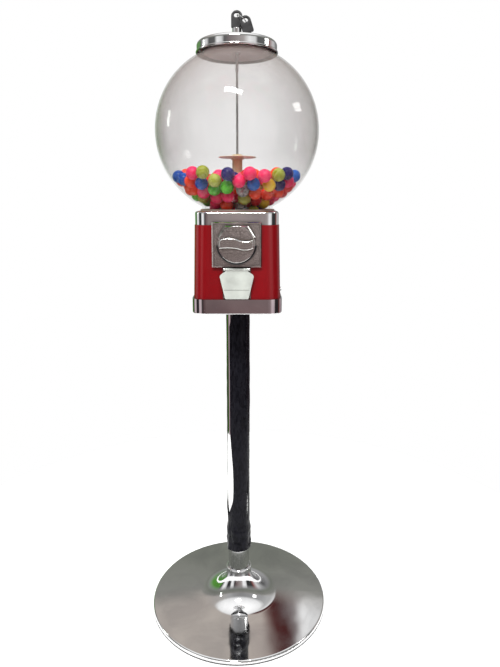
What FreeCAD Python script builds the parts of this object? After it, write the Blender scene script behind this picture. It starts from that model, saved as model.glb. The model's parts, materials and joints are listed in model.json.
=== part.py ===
import FreeCAD, Part
import math
import os
import random
import re
import Sketcher

# A gumball machine on a chrome stand, in millimetres.
# Frame: +Z up, the front faces -Y, +X is the viewer's right hand.
# Origin: the centre of the floor disc, on the floor.

V = FreeCAD.Vector
UP = V(0, 0, 1)
os.makedirs("parts", exist_ok=True)
doc = FreeCAD.newDocument("GumballMachine")

# ---------------------------------------------------------------- driving dimensions
# Names ending in _rad are radii, _z are heights above the floor, and _front are
# distances in front of the machine's vertical axis.

DIMENSIONS = (
    ("base_rad", 213.0, "outer radius of the floor disc"),
    ("base_skin", 2.0, "sheet thickness of the floor disc"),
    ("rim_z", 11.0, "top of the floor disc's rolled rim"),
    ("rim_roll", 4.0, "radius of the rolled rim"),
    ("ring_high", 3.0, "height of the rubber edge ring"),
    ("hub_rad", 28.4, "radius of the disc's trumpet neck"),
    ("hub_flare", 69.0, "radius of the trumpet's curve"),
    ("hub_z", 86.0, "top of the trumpet neck"),
    ("plate_z", 12.0, "top of the steel plate under the hub"),
    ("plate_rad", 150.0, "radius of the steel plate under the hub"),
    ("pole_rad", 25.4, "outer radius of the stand tube"),
    ("pole_wall", 1.6, "wall of the stand tube"),
    ("tie_rad", 4.76, "radius of the tie rod"),
    ("flange_half", 50.0, "half width of the top flange"),
    ("flange_thick", 5.0, "thickness of the top flange"),
    ("bolt_spot", 40.0, "distance of the flange bolts from both centre lines"),
    ("wrap_thick", 2.6, "how far the black wrap stands off the tube"),
    ("wrap_gap", 0.3, "air between the black wrap and the tube"),
    ("wrap_low_z", 143.0, "lower edge of the black wrap"),
    ("cuff_z", 222.0, "top of the wrap's bunched cuff"),
    ("tray_z", 745.0, "underside of the body tray"),
    ("tray_half", 96.0, "half width of the body tray"),
    ("tray_high", 32.0, "height of the body tray"),
    ("tray_wall", 2.3, "wall of the body tray"),
    ("corner_rad", 29.0, "corner radius of the body in plan"),
    ("mech_hole_half", 46.0, "half width of the shell's hole for the mechanism"),
    ("chute_hole_half", 25.4, "half width of the shell's hole for the chute"),
    ("side_screw_y", -18.0, "side screw's place from front to back"),
    ("side_screw_z", 788.0, "height of the side screw"),
    ("shell_low_half", 93.3, "half width of the red shell at its foot"),
    ("shell_top_half", 89.3, "half width of the red shell at its top"),
    ("shell_wall", 1.6, "wall of the red shell"),
    ("collar_half", 88.0, "half width of the top collar"),
    ("collar_low_z", 932.0, "lower edge of the top collar"),
    ("collar_top_z", 960.0, "top of the collar"),
    ("sheet_thick", 3.0, "thickness of tray floor and collar top"),
    ("gasket_high", 3.5, "height of the lower gasket"),
    ("globe_rad", 175.0, "outer radius of the globe"),
    ("globe_wall", 3.0, "wall of the globe"),
    ("globe_z", 1126.0, "height of the globe's centre"),
    ("neck_rad", 77.5, "outer radius of both globe necks"),
    ("mouth_rad", 72.0, "inner radius of both globe necks"),
    ("neck_top_z", 1290.0, "top of the upper neck"),
    ("lid_rad", 86.5, "outer radius of the lid"),
    ("lid_low_z", 1284.0, "lower edge of the lid"),
    ("lid_top_z", 1312.5, "top of the lid's dome"),
    ("lid_skin", 1.6, "sheet thickness of the lid"),
    ("rod_rad", 2.5, "radius of the centre rod"),
    ("rod_head_rad", 3.175, "radius of the rod's threaded upper end"),
    ("rod_head_z", 1250.0, "start of the rod's threaded upper end"),
    ("rod_top_z", 1306.0, "top of the centre rod"),
    ("tube_rad", 11.0, "outer radius of the tan rod tube"),
    ("tube_top_z", 1080.0, "top of the tan rod tube"),
    ("baffle_rad", 41.0, "radius of the tan baffle disc"),
    ("baffle_z", 1073.5, "underside of the baffle disc"),
    ("lock_rad", 10.0, "outer radius of the lock barrel"),
    ("lock_top_z", 1336.0, "top of the lock barrel"),
    ("plug_rad", 7.5, "radius of the turning lock plug"),
    ("running_gap", 0.05, "radial clearance of every turning fit"),
    ("key_half", 11.75, "half width of a key's bow"),
    ("key_thick", 7.0, "thickness of a key's bow"),
    ("key_slot_z", 1361.5, "height of the key's ring slot"),
    ("key_ring_rad", 12.0, "middle radius of the key ring"),
    ("key_ring_lean", 37.0, "slope of the key ring in degrees"),
    ("spare_lean", 18.0, "lean of the spare key in degrees"),
    ("mech_z", 894.0, "height of the coin mechanism's axis"),
    ("face_half", 51.25, "half width of the faceplate"),
    ("face_low_z", 845.7, "lower edge of the faceplate"),
    ("face_top_z", 938.5, "upper edge of the faceplate"),
    ("face_back_front", 91.4, "back of the faceplate"),
    ("face_front", 98.0, "front of the faceplate"),
    ("hood_front", 107.0, "front of the coin hood"),
    ("dial_rad", 38.0, "radius of the dial"),
    ("dial_thick", 4.6, "thickness of the dial"),
    ("ridge_high", 9.5, "height of the dial's S-shaped handle"),
    ("shaft_rad", 6.0, "radius of the knob shaft"),
    ("coin_wheel_rad", 34.0, "radius of the coin wheel"),
    ("frame_front", 80.0, "front of the mechanism's back frame"),
    ("gear_mod", 3.0, "tooth module of pinion and crown"),
    ("pinion_teeth", 10.0, "teeth on the pinion"),
    ("crown_teeth", 40.0, "teeth on the product wheel's crown"),
    ("tooth_half", 1.75, "half thickness of a tooth at the pitch line"),
    ("wheel_low_z", 912.0, "underside of the product wheel"),
    ("wheel_thick", 30.0, "thickness of the product wheel"),
    ("wheel_rad", 66.0, "radius of the product wheel"),
    ("pocket_rad", 14.4, "radius of a ball pocket"),
    ("pocket_orbit", 38.0, "distance of a pocket from the axis"),
    ("bush_rad", 8.0, "outer radius of the wheel bush"),
    ("housing_low_z", 898.0, "underside of the wheel housing"),
    ("crown_room_z", 903.0, "floor of the ring-shaped room for the crown teeth"),
    ("crown_room_rad", 54.5, "inner radius of the room for the crown teeth"),
    ("shoulder_z", 949.0, "top of the housing's straight wall"),
    ("brim_z", 953.0, "underside of the housing's brim"),
    ("brim_rad", 84.0, "outer radius of the housing's brim"),
    ("pinion_front", 56.0, "back of the pinion, in front of the axis"),
    ("chute_half", 24.6, "half width of the chute"),
    ("chute_wall", 1.5, "wall of the chute"),
    ("chute_low_z", 786.0, "lowest edge of the chute"),
    ("door_half", 35.3, "half width of the chute door's shoulders"),
    ("neck_half", 23.7, "half width of the door's neck"),
    ("door_low_z", 778.5, "lower edge of the chute door"),
    ("pin_z", 841.5, "height of the door's hinge pin"),
    ("pin_front", 99.0, "hinge pin's distance from the machine's axis"),
    ("pin_rad", 1.75, "radius of the hinge pin"),
    ("door_thick", 3.2, "thickness of the chute door"),
    ("ball_rad", 13.5, "radius of a bouncy ball"),
    ("ball_gap", 0.35, "free space kept around each ball"),
    ("ball_count", 156, "loose balls in the globe"),
)

sheet = doc.addObject("Spreadsheet::Sheet", "Sizes")
for row, (alias, amount, meaning) in enumerate(DIMENSIONS, start=1):
    sheet.set("A%d" % row, meaning)
    sheet.set("B%d" % row, str(amount))
    sheet.setAlias("B%d" % row, alias)
doc.recompute()
ALIASES = {alias for alias, amount, meaning in DIMENSIONS}
NODES = []


def bound(expression):
    """The expression with each alias written as a reference to the sheet."""
    def refer(match):
        word = match.group()
        return "Sizes." + word if word in ALIASES else word
    return re.sub(r"[a-z]\w*", refer, str(expression))


def size(expression):
    """The number that an expression of aliases comes to."""
    return float(sheet.evalExpression(str(expression)))


# ---------------------------------------------------------------- sketches
# An outline is a closed list of corners. A corner is (x, y), reached by a straight
# line, or (x, y, radius, turn), reached by an arc that turns "left" or "right".
# A circle is ("circle", x, y, radius). Every value is an expression of aliases.

def shorter_arc(start, end, radius, turn):
    """The shorter arc between two corners, on the side that the turn asks for."""
    if turn == "right":
        start, end = end, start
    chord = end - start
    reach = math.sqrt(max(radius ** 2 - (chord.Length / 2) ** 2, 0))
    centre = (start + end) * 0.5 + V(-chord.y, chord.x, 0).normalize() * reach
    first = math.atan2(start.y - centre.y, start.x - centre.x)
    last = math.atan2(end.y - centre.y, end.x - centre.x)
    if last < first:
        last += 2 * math.pi
    return Part.ArcOfCircle(Part.Circle(centre, UP, radius), first, last)


def constrain(sketch, kind, expression, *where):
    """Adds a dimension to the sketch, bound to the sheet where it names an alias."""
    index = sketch.addConstraint(Sketcher.Constraint(kind, *where, size(expression)))
    if any(alias in str(expression) for alias in ALIASES):
        sketch.setExpression("Constraints[%d]" % index, bound(expression))


def draw_circle(sketch, x, y, radius):
    centre = V(size(x), size(y), 0)
    index = sketch.addGeometry(Part.Circle(centre, V(0, 0, 1), size(radius)), False)
    constrain(sketch, "Radius", radius, index)
    constrain(sketch, "DistanceX", x, -1, 1, index, 3)
    constrain(sketch, "DistanceY", y, -1, 1, index, 3)


def draw_outline(sketch, outline):
    spots = [V(size(corner[0]), size(corner[1]), 0) for corner in outline]
    ends = []
    for number, corner in enumerate(outline):
        start, end = spots[number - 1], spots[number]
        if len(corner) == 2:
            edge = Part.LineSegment(start, end)
        else:
            edge = shorter_arc(start, end, size(corner[2]), corner[3])
        index = sketch.addGeometry(edge, False)
        backwards = len(corner) > 2 and corner[3] == "right"
        ends.append((index, 2, 1) if backwards else (index, 1, 2))
        if len(corner) > 2:
            constrain(sketch, "Radius", corner[2], index)
    for number, corner in enumerate(outline):
        index, first, last = ends[number]
        following, its_first, its_last = ends[(number + 1) % len(ends)]
        sketch.addConstraint(Sketcher.Constraint("Coincident", index, last, following, its_first))
        constrain(sketch, "DistanceX", corner[0], -1, 1, index, last)
        constrain(sketch, "DistanceY", corner[1], -1, 1, index, last)


def sketch_on(body, role, outlines, offset="0"):
    """A sketch on one of the body's own origin planes, moved along its normal."""
    sketch = body.newObject("Sketcher::SketchObject", body.Label + "_sketch")
    plane = next(item for item in body.Origin.OriginFeatures if item.Role == role)
    sketch.AttachmentSupport = [(plane, "")]
    sketch.MapMode = "FlatFace"
    sketch.setExpression("AttachmentOffset.Base.z", bound(offset))
    for outline in outlines:
        if outline[0] == "circle":
            draw_circle(sketch, *outline[1:])
        else:
            draw_outline(sketch, outline)
    return sketch


def rectangle(low_x, low_y, high_x, high_y):
    return [(low_x, low_y), (high_x, low_y), (high_x, high_y), (low_x, high_y)]


def rounded(half_x, half_y, corner, x="0", y="0"):
    """A rectangle about (x, y) with rounded corners."""
    right, left = f"{x} + {half_x}", f"{x} - ({half_x})"
    top, bottom = f"{y} + {half_y}", f"{y} - ({half_y})"
    return [
        (f"{left} + {corner}", bottom, corner, "left"),
        (f"{right} - ({corner})", bottom),
        (right, f"{bottom} + {corner}", corner, "left"),
        (right, f"{top} - ({corner})"),
        (f"{right} - ({corner})", top, corner, "left"),
        (f"{left} + {corner}", top),
        (left, f"{top} - ({corner})", corner, "left"),
        (left, f"{bottom} + {corner}"),
    ]


# ---------------------------------------------------------------- features

def new_body(label):
    """A body for one piece of the machine. Its label names its file."""
    body = doc.addObject("PartDesign::Body", label)
    body.Label = label
    NODES.append(body)
    return body


def pad(body, role, outlines, offset, length):
    """Adds an extrusion to the body, along the sketch plane's normal."""
    feature = body.newObject("PartDesign::Pad", body.Label + "_pad")
    feature.Profile = sketch_on(body, role, outlines, offset)
    feature.setExpression("Length", bound(length))
    body.Tip = feature
    return feature


def pocket(body, role, outlines, offset, length):
    """Cuts the body from the sketch plane backwards, against its normal."""
    feature = body.newObject("PartDesign::Pocket", body.Label + "_pocket")
    feature.Profile = sketch_on(body, role, outlines, offset)
    feature.setExpression("Length", bound(length))
    body.Tip = feature
    return feature


def spin(body, outline, kind="PartDesign::Revolution"):
    """Revolves an outline of (radius, height) corners about the body's Z axis."""
    feature = body.newObject(kind, body.Label + "_spin")
    sketch = sketch_on(body, "XZ_Plane", [outline])
    feature.Profile = sketch
    feature.ReferenceAxis = (sketch, ["V_Axis"])
    feature.Angle = 360
    body.Tip = feature
    return feature


def repeat(body, feature, count):
    """Repeats one feature around the body's Z axis."""
    pattern = body.newObject("PartDesign::PolarPattern", body.Label + "_pattern")
    pattern.Originals = [feature]
    axis = next(item for item in body.Origin.OriginFeatures if item.Role == "Z_Axis")
    pattern.Axis = (axis, [""])
    pattern.Angle = 360
    pattern.setExpression("Occurrences", bound(count))
    body.Tip = pattern
    return pattern


def soften(body, chosen, radius, kind="PartDesign::Fillet"):
    """Fillets or chamfers the edges that the test picks."""
    doc.recompute()
    base = body.Tip
    names = ["Edge%d" % (number + 1) for number, edge in enumerate(base.Shape.Edges) if chosen(edge)]
    feature = body.newObject(kind, body.Label + "_edge")
    feature.Base = (base, names)
    feature.setExpression("Radius" if kind.endswith("Fillet") else "Size", bound(radius))
    body.Tip = feature
    return feature


def at_height(level, tolerance=0.01):
    """A test for edges that lie level at a height."""
    height = size(level)

    def chosen(edge):
        box = edge.BoundBox
        return abs(box.ZMin - height) < tolerance and abs(box.ZMax - height) < tolerance
    return chosen


def at_front(distance, tolerance=0.01):
    """A test for edges that lie in one plane facing the front."""
    depth = -size(distance)

    def chosen(edge):
        box = edge.BoundBox
        return abs(box.YMin - depth) < tolerance and abs(box.YMax - depth) < tolerance
    return chosen


def spun(label, outline):
    body = new_body(label)
    spin(body, outline)
    return body


def place(item, x="0", y="0", z="0", axis=UP, angle="0"):
    """Puts a piece where the sheet says."""
    item.Placement = FreeCAD.Placement(V(0, 0, 0), FreeCAD.Rotation(axis, size(angle)))
    item.setExpression(".Placement.Base.x", bound(x))
    item.setExpression(".Placement.Base.y", bound(y))
    item.setExpression(".Placement.Base.z", bound(z))
    return item


def primitive(kind, label, x="0", y="0", z="0", axis=UP, angle="0", **sizes):
    """A Part primitive whose sizes are bound to the sheet."""
    item = doc.addObject(kind, label)
    for name, expression in sizes.items():
        item.setExpression(name, bound(expression))
    return place(item, x, y, z, axis, angle)


def facing(label, radius, length, front, x="0", z="0"):
    """A cylinder that lies along Y. Its front end is the given distance forward."""
    return primitive("Part::Cylinder", label, x, f"-({front})", z, V(1, 0, 0), "-90",
                     Radius=radius, Height=length)


def hexagon(label, across_rad, height, x="0", y="0", z="0"):
    item = primitive("Part::Prism", label, x, y, z, Circumradius=across_rad, Height=height)
    item.Polygon = 6
    return item


def fused(label, pieces, node=False):
    item = doc.addObject("Part::MultiFuse", label)
    item.Shapes = pieces
    if node:
        item.Label = label
        NODES.append(item)
    return item


def less(label, base, tool, node=False):
    item = doc.addObject("Part::Cut", label)
    item.Base = base
    item.Tool = tool
    if node:
        item.Label = label
        NODES.append(item)
    return item


def group(label, pieces):
    """A node of separate solids."""
    item = doc.addObject("Part::Compound", label)
    item.Label = label
    item.Links = pieces
    NODES.append(item)
    return item


def corners(half_x, half_z, middle_z):
    """The four corners of an upright rectangle."""
    return [(f"{side} * ({half_x})", f"{middle_z} + {level} * ({half_z})")
            for side in (-1, 1) for level in (-1, 1)]


# ---------------------------------------------------------------- stand

def build_stand():
    spun("base_disc", [
        ("base_rad - base_skin", "ring_high"),
        ("base_rad", "ring_high"),
        ("base_rad", "rim_z - rim_roll"),
        ("base_rad - rim_roll", "rim_z", "rim_roll", "left"),
        ("hub_rad + hub_flare", "hub_z - hub_flare"),
        ("hub_rad", "hub_z", "hub_flare", "right"),
        ("hub_rad - base_skin", "hub_z"),
        ("hub_rad + hub_flare", "hub_z - hub_flare - base_skin", "hub_flare + base_skin", "left"),
        ("base_rad - rim_roll", "rim_z - base_skin"),
        ("base_rad - base_skin", "rim_z - rim_roll", "rim_roll - base_skin", "right"),
    ])
    spun("floor_ring", [
        ("base_rad - 6", "0"),
        ("base_rad - 1", "0"),
        ("base_rad", "1", "1", "left"),
        ("base_rad", "ring_high"),
        ("base_rad - base_skin - 0.2", "ring_high"),
        ("base_rad - base_skin - 0.2", "rim_z - rim_roll"),
        ("base_rad - 6", "rim_z - rim_roll"),
    ])
    spun("base_plate", [
        ("tie_rad + 0.2", "plate_z - 3"),
        ("plate_rad", "plate_z - 3"),
        ("plate_rad", "plate_z"),
        ("tie_rad + 0.2", "plate_z"),
    ])
    spun("hub_collar", [
        ("pole_rad + 0.1", "hub_z + 0.1"),
        ("hub_rad + 0.8", "hub_z + 0.1"),
        ("hub_rad + 0.8", "hub_z + 3", "1.6", "left"),
        ("pole_rad + 0.1", "hub_z + 4"),
    ])
    spun("stand_tube", [
        ("pole_rad - pole_wall", "plate_z"),
        ("pole_rad", "plate_z"),
        ("pole_rad", "tray_z - flange_thick"),
        ("pole_rad - pole_wall", "tray_z - flange_thick"),
    ])
    tie_rod = primitive("Part::Cylinder", "tie_rod", z="2", Radius="tie_rad",
                        Height="tray_z - flange_thick - 7")
    NODES.append(tie_rod)
    group("tie_rod_nuts", [
        less("tie_nut_low", hexagon("tie_nut_low_hex", "9", "6.5", z="plate_z - 9.5"),
             primitive("Part::Cylinder", "tie_nut_low_hole", Radius="tie_rad", Height="30")),
        less("tie_nut_high", hexagon("tie_nut_high_hex", "9", "8", z="plate_z"),
             primitive("Part::Cylinder", "tie_nut_high_hole", Radius="tie_rad", Height="30")),
    ])


def build_flange():
    flange = new_body("top_flange")
    spots = corners("bolt_spot", "bolt_spot", "0")
    holes = [("circle", x, y, "3.2") for x, y in spots]
    pad(flange, "XY_Plane", [rounded("flange_half", "flange_half", "6")] + holes,
        "tray_z - flange_thick", "flange_thick")
    pad(flange, "XY_Plane", [("circle", "0", "0", "pole_rad - pole_wall - 0.1")],
        "tray_z - 30", "30 - flange_thick")
    pocket(flange, "XY_Plane", [("circle", "0", "0", "tie_rad")], "tray_z - flange_thick", "40")
    fasteners = []
    for number, (x, y) in enumerate(spots):
        name = "flange_bolt_%d" % number
        fasteners.append(fused(name, [
            hexagon(name + "_head", "5.8", "4", x, y, "tray_z - flange_thick - 4"),
            primitive("Part::Cylinder", name + "_shank", x, y, "tray_z - flange_thick - 4",
                      Radius="3", Height="20"),
        ]))
        fasteners.append(less(
            name + "_nut",
            hexagon(name + "_nut_hex", "5.8", "5", x, y, "tray_z + sheet_thick"),
            primitive("Part::Cylinder", name + "_nut_hole", x, y, "tray_z", Radius="3", Height="20"),
        ))
    group("flange_fasteners", fasteners)


def build_wrap():
    """The black wrap that is pulled over the tube, with its bunched cuff."""
    spun("pole_wrap", [
        ("pole_rad + wrap_gap", "wrap_low_z"),
        ("pole_rad + 5.2", "wrap_low_z"),
        ("pole_rad + 6.6", "wrap_low_z + 20"),
        ("pole_rad + 5.6", "cuff_z - 25"),
        ("pole_rad + wrap_thick", "cuff_z"),
        ("pole_rad + wrap_thick", "tray_z - flange_thick - 5"),
        ("pole_rad + wrap_gap", "tray_z - flange_thick - 5"),
    ])


# ---------------------------------------------------------------- body

def build_tray():
    tray = new_body("tray")
    pad(tray, "XY_Plane", [rounded("tray_half", "tray_half", "corner_rad + 1.5")],
        "tray_z", "tray_high")
    soften(tray, at_height("tray_z"), "2.5")
    inner = "tray_half - tray_wall"
    pocket(tray, "XY_Plane", [rounded(inner, inner, "corner_rad - 0.5")],
           "tray_z + tray_high", "tray_high - sheet_thick")
    bolt_holes = [("circle", x, y, "3.2") for x, y in corners("bolt_spot", "bolt_spot", "0")]
    rod_hole = ("circle", "0", "0", "rod_rad + 0.3")
    pocket(tray, "XY_Plane", bolt_holes + [rod_hole], "tray_z + sheet_thick", "sheet_thick + 1")


def shell_outline(level, inset):
    half = f"shell_{level}_half - {inset}"
    return rounded(half, half, f"corner_rad - {inset}")


def shell_loft(body, kind, inset):
    foot = sketch_on(body, "XY_Plane", [shell_outline("low", inset)], "tray_z + sheet_thick + 0.3")
    crown = sketch_on(body, "XY_Plane", [shell_outline("top", inset)], "collar_low_z")
    feature = body.newObject(kind, "shell_loft")
    feature.Profile = foot
    feature.Sections = [crown]
    feature.Ruled = True
    body.Tip = feature


def build_shell():
    """The red housing: a tapered square sleeve with openings for mechanism and chute."""
    shell = new_body("shell")
    shell_loft(shell, "PartDesign::AdditiveLoft", "0")
    shell_loft(shell, "PartDesign::SubtractiveLoft", "shell_wall")
    mech_hole = rectangle("-mech_hole_half", "face_low_z + 4", "mech_hole_half",
                          "collar_low_z + 1")
    chute_hole = rectangle("-chute_hole_half", "chute_low_z - 1", "chute_hole_half",
                           "face_low_z - 3.2")
    pocket(shell, "XZ_Plane", [mech_hole, chute_hole], "100", "40")
    screw_hole = ("circle", "side_screw_y", "side_screw_z", "2.1")
    pocket(shell, "YZ_Plane", [screw_hole], "100", "20")


def build_collar():
    collar = new_body("collar")
    pad(collar, "XY_Plane", [rounded("collar_half", "collar_half", "corner_rad")],
        "collar_low_z", "collar_top_z - collar_low_z")
    soften(collar, at_height("collar_top_z"), "4.5")
    inner = "collar_half - 2.2"
    pocket(collar, "XY_Plane", [rounded(inner, inner, "corner_rad - 2.2")],
           "collar_top_z - sheet_thick", "40")
    pocket(collar, "XY_Plane", [("circle", "0", "0", "mouth_rad + 2")], "collar_top_z", "10")
    mech_notch = rectangle("-mech_hole_half", "collar_low_z - 1", "mech_hole_half",
                           "face_top_z - 1.5")
    pocket(collar, "XZ_Plane", [mech_notch], "100", "30")
    lower_gasket = "collar_top_z + gasket_high"
    spun("lower_gasket", [
        ("mouth_rad", "collar_top_z"),
        ("neck_rad + 4", "collar_top_z"),
        ("neck_rad + 4", "collar_top_z + 2"),
        ("neck_rad + 2.5", lower_gasket, "1.5", "left"),
        ("mouth_rad", lower_gasket),
    ])
    fused("side_screw", [
        primitive("Part::Cylinder", "side_screw_head", "shell_low_half - 0.5", "side_screw_y",
                  "side_screw_z", V(0, 1, 0), "90", Radius="4.2", Height="4.5"),
        primitive("Part::Cylinder", "side_screw_shank", "shell_low_half - 9", "side_screw_y",
                  "side_screw_z", V(0, 1, 0), "90", Radius="2", Height="11"),
    ], node=True)


# ---------------------------------------------------------------- globe, lid and rod

def build_globe():
    low_meet = "globe_z - sqrt(globe_rad ^ 2 - neck_rad ^ 2)"
    high_meet = "globe_z + sqrt(globe_rad ^ 2 - neck_rad ^ 2)"
    inner_rad = "globe_rad - globe_wall"
    inner_low = "globe_z - sqrt((globe_rad - globe_wall) ^ 2 - mouth_rad ^ 2)"
    inner_high = "globe_z + sqrt((globe_rad - globe_wall) ^ 2 - mouth_rad ^ 2)"
    spun("globe", [
        ("mouth_rad", "collar_top_z + gasket_high"),
        ("neck_rad", "collar_top_z + gasket_high"),
        ("neck_rad", low_meet),
        ("neck_rad", high_meet, "globe_rad", "left"),
        ("neck_rad", "neck_top_z"),
        ("mouth_rad", "neck_top_z"),
        ("mouth_rad", inner_high),
        ("mouth_rad", inner_low, inner_rad, "right"),
    ])
    spun("top_gasket", rectangle("mouth_rad + 0.5", "neck_top_z", "neck_rad + 1.5",
                                 "neck_top_z + 2.5"))


def build_lid():
    skin = "lid_skin"
    spun("lid", [
        ("lid_rad - 2", "lid_low_z"),
        ("lid_rad - 2", "lid_low_z + 5", "2.55", "left"),
        ("lid_rad - 2", "lid_low_z + 16"),
        ("lid_rad - 9", "lid_top_z - 5", "8", "left"),
        ("lock_rad - 2", "lid_top_z", "900", "left"),
        ("lock_rad - 2", f"lid_top_z - {skin}"),
        ("lid_rad - 9", f"lid_top_z - 5 - {skin}", f"900 - {skin}", "right"),
        (f"lid_rad - 2 - {skin}", "lid_low_z + 16", f"8 - {skin}", "right"),
        (f"lid_rad - 2 - {skin}", "lid_low_z + 1"),
    ])
    spun("lid_liner", [
        ("lock_rad - 1.5", "lid_low_z + 2"),
        ("mouth_rad - 2.5", "lid_low_z + 2"),
        ("mouth_rad - 1", "lid_low_z + 3.5", "1.5", "left"),
        ("mouth_rad - 1", "neck_top_z + 2.8"),
        ("neck_rad + 4", "neck_top_z + 2.8"),
        ("neck_rad + 4", "neck_top_z + 5.3"),
        ("mouth_rad - 4", "neck_top_z + 5.3"),
        ("mouth_rad - 4", "lid_low_z + 4.5"),
        ("lock_rad - 1.5", "lid_low_z + 4.5"),
    ])


def build_rod():
    spun("centre_rod", [
        ("0", "tray_z + 1"),
        ("rod_rad", "tray_z + 1"),
        ("rod_rad", "rod_head_z - 1"),
        ("rod_head_rad", "rod_head_z"),
        ("rod_head_rad", "rod_top_z - 1"),
        ("rod_head_rad - 1", "rod_top_z"),
        ("0", "rod_top_z"),
    ])
    hub_top = "wheel_low_z + wheel_thick + 2"
    group("rod_nuts", [
        less("rod_nut_low", hexagon("rod_nut_low_hex", "6", "5", z="tray_z + sheet_thick"),
             primitive("Part::Cylinder", "rod_nut_low_hole", z="tray_z", Radius="rod_rad",
                       Height="10")),
        less("rod_nut_high", hexagon("rod_nut_high_hex", "7", "5", z=hub_top),
             primitive("Part::Cylinder", "rod_nut_high_hole", z=hub_top, Radius="rod_rad",
                       Height="10")),
    ])
    spun("rod_tube", [
        ("rod_rad + 0.4", f"{hub_top} + 5"),
        ("tube_rad", f"{hub_top} + 5"),
        ("tube_rad", "tube_top_z - 0.8"),
        ("tube_rad - 0.8", "tube_top_z"),
        ("rod_rad + 0.4", "tube_top_z"),
    ])
    spun("baffle_disc", [
        ("tube_rad + 0.1", "baffle_z - 4"),
        ("tube_rad + 3", "baffle_z - 4"),
        ("tube_rad + 4", "baffle_z"),
        ("baffle_rad - 1", "baffle_z"),
        ("baffle_rad - 1", "baffle_z + 2", "1.05", "left"),
        ("tube_rad + 0.1", "baffle_z + 2"),
    ])


# ---------------------------------------------------------------- lock and keys

def build_lock():
    bore_top = "rod_top_z + 2"
    plug_floor = "lock_top_z - 14"
    spun("lock_barrel", [
        ("rod_head_rad + 0.2", "rod_top_z - 12"),
        ("lock_rad - 2.1", "rod_top_z - 12"),
        ("lock_rad - 2.1", "lid_top_z + 0.2"),
        ("lock_rad + 1", "lid_top_z + 0.2"),
        ("lock_rad + 1", "lid_top_z + 2"),
        ("lock_rad", "lid_top_z + 3"),
        ("lock_rad", "lock_top_z - 1"),
        ("lock_rad - 1", "lock_top_z", "1", "left"),
        ("plug_rad + running_gap", "lock_top_z"),
        ("plug_rad + running_gap", plug_floor),
        ("0", plug_floor),
        ("0", bore_top),
        ("rod_head_rad + 0.2", bore_top),
    ])
    less("lock_nut", hexagon("lock_nut_hex", "14", "6.5", z="lid_top_z + 3.2"),
         primitive("Part::Cylinder", "lock_nut_hole", z="lid_top_z", Radius="lock_rad + 0.05",
                   Height="20"), node=True)
    spun("lock_plug", [
        ("0", "lock_top_z - 13.8"),
        ("plug_rad", "lock_top_z - 13.8"),
        ("plug_rad", "lock_top_z - 0.5"),
        ("5.2", "lock_top_z - 0.5"),
        ("5.2", "lock_top_z - 11.8"),
        ("3.4", "lock_top_z - 11.8"),
        ("3.4", "lock_top_z - 0.8"),
        ("0", "lock_top_z - 0.8"),
    ])


def build_key(label):
    """A tubular key with a flat plastic bow. Its origin is the middle of its ring slot."""
    key = new_body(label)
    bow_low = "lock_top_z - key_slot_z + 0.4"
    bow = [
        ("-key_half + 3", bow_low, "3", "left"),
        ("key_half - 3", bow_low),
        ("key_half", f"{bow_low} + 3", "3", "left"),
        ("key_half", "-2.5"),
        ("0", "key_half - 2.5", "key_half", "left"),
        ("-key_half", "-2.5", "key_half", "left"),
        ("-key_half", f"{bow_low} + 3"),
    ]
    slot = rounded("6", "4.4", "4.2")
    pad(key, "XZ_Plane", [bow, slot], "-key_thick / 2", "key_thick")
    soften(key, at_front("key_thick / 2"), "1.2")
    soften(key, at_front("-key_thick / 2"), "1.2")
    pad(key, "XY_Plane", [("circle", "0", "0", "5"), ("circle", "0", "0", "3.6")],
        f"{bow_low} - 11", "12")
    return key


def build_keys():
    place(build_key("key"), z="key_slot_z")
    ring_left = V(1, 0, size("key_slot_z"))
    lean = math.radians(size("key_ring_lean"))
    slope = V(math.cos(lean), 0, -math.sin(lean))
    middle = ring_left + slope * size("key_ring_rad")
    ring = doc.addObject("Part::Torus", "key_ring")
    ring.setExpression("Radius1", bound("key_ring_rad"))
    ring.Radius2 = 1.0
    ring.Placement = FreeCAD.Placement(middle, FreeCAD.Rotation(V(0, 1, 0), size("key_ring_lean")))
    NODES.append(ring)
    round_to_spare = math.radians(37)
    hook = middle + slope * (size("key_ring_rad") * math.cos(round_to_spare) - 1.2)
    hook.y = -size("key_ring_rad") * math.sin(round_to_spare)
    spare = build_key("spare_key")
    spare.Placement = FreeCAD.Placement(hook, FreeCAD.Rotation(V(0, 1, 0), -size("spare_lean")))


# ---------------------------------------------------------------- coin mechanism

def build_faceplate():
    face = new_body("faceplate")
    low, high = "face_low_z", "face_top_z"
    pad(face, "XZ_Plane", [rectangle("-face_half", low, "face_half", high)],
        "face_back_front", "face_front - face_back_front")
    soften(face, at_front("face_front"), "1.6", "PartDesign::Chamfer")
    border = 4.2
    pocket(face, "XZ_Plane",
           [rectangle(f"-face_half + {border}", f"{low} + {border}", f"face_half - {border}",
                      f"{high} - {border}")],
           "face_front", "1.4")
    coin_gap = rectangle("-16", "mech_z + 14", "16", f"{high} - 7")
    pocket(face, "XZ_Plane", [("circle", "0", "mech_z", "shaft_rad + running_gap"), coin_gap],
           "face_front", "20")


def build_hood():
    """The fixed hood behind the dial's upper half, with the coin slot in its top."""
    hood = new_body("coin_hood")
    outline = [
        ("-34", "mech_z + 2"),
        ("34", "mech_z + 2"),
        ("39", "mech_z + 14"),
        ("24", "mech_z + 37.5"),
        ("-24", "mech_z + 37.5"),
        ("-39", "mech_z + 14"),
    ]
    pad(hood, "XZ_Plane", [outline], "face_front - 1.4", "hood_front - face_front + 1.4")
    soften(hood, at_front("hood_front"), "2.2", "PartDesign::Chamfer")
    shaft_room = [("circle", "0", "mech_z", "shaft_rad + 3")]
    pocket(hood, "XZ_Plane", shaft_room, "hood_front", "20")
    coin_room = rectangle("-17", "-hood_front + 4.2", "17", "-face_front + 1.2")
    pocket(hood, "XY_Plane", [coin_room], "mech_z + 40", "24")


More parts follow.
